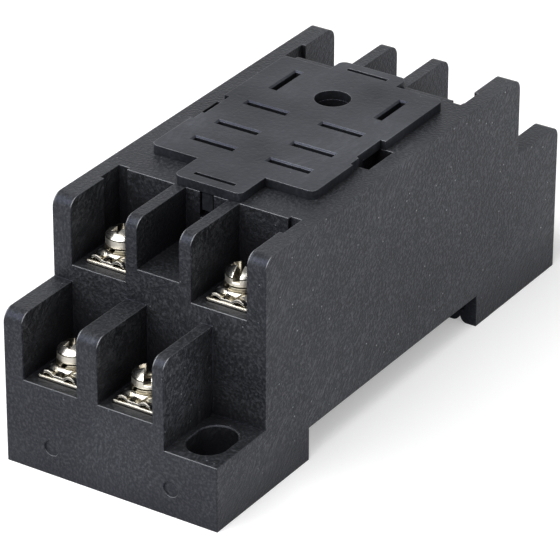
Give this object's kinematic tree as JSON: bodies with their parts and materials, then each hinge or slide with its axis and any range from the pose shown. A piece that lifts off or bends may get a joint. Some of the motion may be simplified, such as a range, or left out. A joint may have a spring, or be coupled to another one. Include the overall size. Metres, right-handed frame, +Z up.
{
  "type": "relay socket",
  "caption": "Black moulded relay socket with stepped tiers of screw terminals at each end, a slotted plate for a plug-in relay, corner mounting slots and a rail latch underneath.",
  "frame": {"origin": "middle of the socket's footprint, at the height of its underside", "axes": "+Z up out of the relay plate, +Y along the length from the end with the three single rows of slots to the end with the lengthwise pair, +X to the right seen from the front"},
  "size_m": [0.0276, 0.072, 0.0297],
  "materials": {
    "housing_plastic": "matte moulded",
    "plate_plastic": "satin moulded",
    "latch_plastic": "satin moulded",
    "screw_nickel": "nickel plated steel, polished",
    "clamp_nickel": "nickel plated steel, satin",
    "washer_nickel": "nickel plated spring steel",
    "strip_nickel": "nickel plated brass",
    "contact_tin": "tin plated spring bronze",
    "spring_steel": "drawn wire"
  },
  "bodies": {
    "housing": {"housing": "housing_plastic", "relay_plate": "plate_plastic", "latch_spring": "spring_steel", "terminal_strip_front_upper_left": "strip_nickel", "terminal_strip_front_upper_right": "strip_nickel", "terminal_strip_front_lower_left": "strip_nickel", "terminal_strip_front_lower_right": "strip_nickel", "terminal_strip_rear_upper_left": "strip_nickel", "terminal_strip_rear_upper_right": "strip_nickel", "terminal_strip_rear_lower_left": "strip_nickel", "terminal_strip_rear_lower_right": "strip_nickel", "contact_front_upper_left": "contact_tin", "contact_front_upper_right": "contact_tin", "contact_front_lower_left": "contact_tin", "contact_front_lower_right": "contact_tin", "contact_rear_upper_left": "contact_tin", "contact_rear_upper_right": "contact_tin", "contact_rear_lower_left": "contact_tin", "contact_rear_lower_right": "contact_tin"},
    "rail_latch": {"rail_latch": "latch_plastic"},
    "clamp_front_upper_left": {"saddle_clamp_front_upper_left": "clamp_nickel", "spring_washer_front_upper_left": "washer_nickel"},
    "screw_front_upper_left": {"terminal_screw_front_upper_left": "screw_nickel"},
    "clamp_front_upper_right": {"saddle_clamp_front_upper_right": "clamp_nickel", "spring_washer_front_upper_right": "washer_nickel"},
    "screw_front_upper_right": {"terminal_screw_front_upper_right": "screw_nickel"},
    "clamp_front_lower_left": {"saddle_clamp_front_lower_left": "clamp_nickel", "spring_washer_front_lower_left": "washer_nickel"},
    "screw_front_lower_left": {"terminal_screw_front_lower_left": "screw_nickel"},
    "clamp_front_lower_right": {"saddle_clamp_front_lower_right": "clamp_nickel", "spring_washer_front_lower_right": "washer_nickel"},
    "screw_front_lower_right": {"terminal_screw_front_lower_right": "screw_nickel"},
    "clamp_rear_upper_left": {"saddle_clamp_rear_upper_left": "clamp_nickel", "spring_washer_rear_upper_left": "washer_nickel"},
    "screw_rear_upper_left": {"terminal_screw_rear_upper_left": "screw_nickel"},
    "clamp_rear_upper_right": {"saddle_clamp_rear_upper_right": "clamp_nickel", "spring_washer_rear_upper_right": "washer_nickel"},
    "screw_rear_upper_right": {"terminal_screw_rear_upper_right": "screw_nickel"},
    "clamp_rear_lower_left": {"saddle_clamp_rear_lower_left": "clamp_nickel", "spring_washer_rear_lower_left": "washer_nickel"},
    "screw_rear_lower_left": {"terminal_screw_rear_lower_left": "screw_nickel"},
    "clamp_rear_lower_right": {"saddle_clamp_rear_lower_right": "clamp_nickel", "spring_washer_rear_lower_right": "washer_nickel"},
    "screw_rear_lower_right": {"terminal_screw_rear_lower_right": "screw_nickel"}
  },
  "joints": [
    {"name": "latch_slide", "type": "slide", "parent": "housing", "child": "rail_latch", "axis": [0, 1, 0], "range_m": [0, 0.003], "stiffness_N_per_m": 400, "springref_m": -0.003, "deforming": ["latch_spring"]},
    {"name": "clamp_rise_front_upper_left", "type": "slide", "parent": "housing", "child": "clamp_front_upper_left", "axis": [0, 0, 1], "range_m": [0, 0.00225]},
    {"name": "screw_turn_front_upper_left", "type": "hinge", "parent": "clamp_front_upper_left", "child": "screw_front_upper_left", "pos_m": [-0.00783, -0.0219, 0.0211], "axis": [0, 0, 1], "range_deg": [0, 1800]},
    {"name": "clamp_rise_front_upper_right", "type": "slide", "parent": "housing", "child": "clamp_front_upper_right", "axis": [0, 0, 1], "range_m": [0, 0.00225]},
    {"name": "screw_turn_front_upper_right", "type": "hinge", "parent": "clamp_front_upper_right", "child": "screw_front_upper_right", "pos_m": [0.00783, -0.0219, 0.0211], "axis": [0, 0, 1], "range_deg": [0, 1800]},
    {"name": "clamp_rise_front_lower_left", "type": "slide", "parent": "housing", "child": "clamp_front_lower_left", "axis": [0, 0, 1], "range_m": [0, 0.00225]},
    {"name": "screw_turn_front_lower_left", "type": "hinge", "parent": "clamp_front_lower_left", "child": "screw_front_lower_left", "pos_m": [-0.00783, -0.0313, 0.0112], "axis": [0, 0, 1], "range_deg": [0, 1800]},
    {"name": "clamp_rise_front_lower_right", "type": "slide", "parent": "housing", "child": "clamp_front_lower_right", "axis": [0, 0, 1], "range_m": [0, 0.00225]},
    {"name": "screw_turn_front_lower_right", "type": "hinge", "parent": "clamp_front_lower_right", "child": "screw_front_lower_right", "pos_m": [0.00202, -0.0313, 0.0112], "axis": [0, 0, 1], "range_deg": [0, 1800]},
    {"name": "clamp_rise_rear_upper_left", "type": "slide", "parent": "housing", "child": "clamp_rear_upper_left", "axis": [0, 0, 1], "range_m": [0, 0.00225]},
    {"name": "screw_turn_rear_upper_left", "type": "hinge", "parent": "clamp_rear_upper_left", "child": "screw_rear_upper_left", "pos_m": [-0.00783, 0.0219, 0.0211], "axis": [0, 0, 1], "range_deg": [0, 1800]},
    {"name": "clamp_rise_rear_upper_right", "type": "slide", "parent": "housing", "child": "clamp_rear_upper_right", "axis": [0, 0, 1], "range_m": [0, 0.00225]},
    {"name": "screw_turn_rear_upper_right", "type": "hinge", "parent": "clamp_rear_upper_right", "child": "screw_rear_upper_right", "pos_m": [0.00783, 0.0219, 0.0211], "axis": [0, 0, 1], "range_deg": [0, 1800]},
    {"name": "clamp_rise_rear_lower_left", "type": "slide", "parent": "housing", "child": "clamp_rear_lower_left", "axis": [0, 0, 1], "range_m": [0, 0.00225]},
    {"name": "screw_turn_rear_lower_left", "type": "hinge", "parent": "clamp_rear_lower_left", "child": "screw_rear_lower_left", "pos_m": [-0.00202, 0.0313, 0.0112], "axis": [0, 0, 1], "range_deg": [0, 1800]},
    {"name": "clamp_rise_rear_lower_right", "type": "slide", "parent": "housing", "child": "clamp_rear_lower_right", "axis": [0, 0, 1], "range_m": [0, 0.00225]},
    {"name": "screw_turn_rear_lower_right", "type": "hinge", "parent": "clamp_rear_lower_right", "child": "screw_rear_lower_right", "pos_m": [0.00783, 0.0313, 0.0112], "axis": [0, 0, 1], "range_deg": [0, 1800]}
  ],
  "couplings": [
    {"joint": "screw_turn_front_upper_left", "follows": "clamp_rise_front_upper_left", "rad_per_m": 13963},
    {"joint": "screw_turn_front_upper_right", "follows": "clamp_rise_front_upper_right", "rad_per_m": 13963},
    {"joint": "screw_turn_front_lower_left", "follows": "clamp_rise_front_lower_left", "rad_per_m": 13963},
    {"joint": "screw_turn_front_lower_right", "follows": "clamp_rise_front_lower_right", "rad_per_m": 13963},
    {"joint": "screw_turn_rear_upper_left", "follows": "clamp_rise_rear_upper_left", "rad_per_m": 13963},
    {"joint": "screw_turn_rear_upper_right", "follows": "clamp_rise_rear_upper_right", "rad_per_m": 13963},
    {"joint": "screw_turn_rear_lower_left", "follows": "clamp_rise_rear_lower_left", "rad_per_m": 13963},
    {"joint": "screw_turn_rear_lower_right", "follows": "clamp_rise_rear_lower_right", "rad_per_m": 13963}
  ]
}
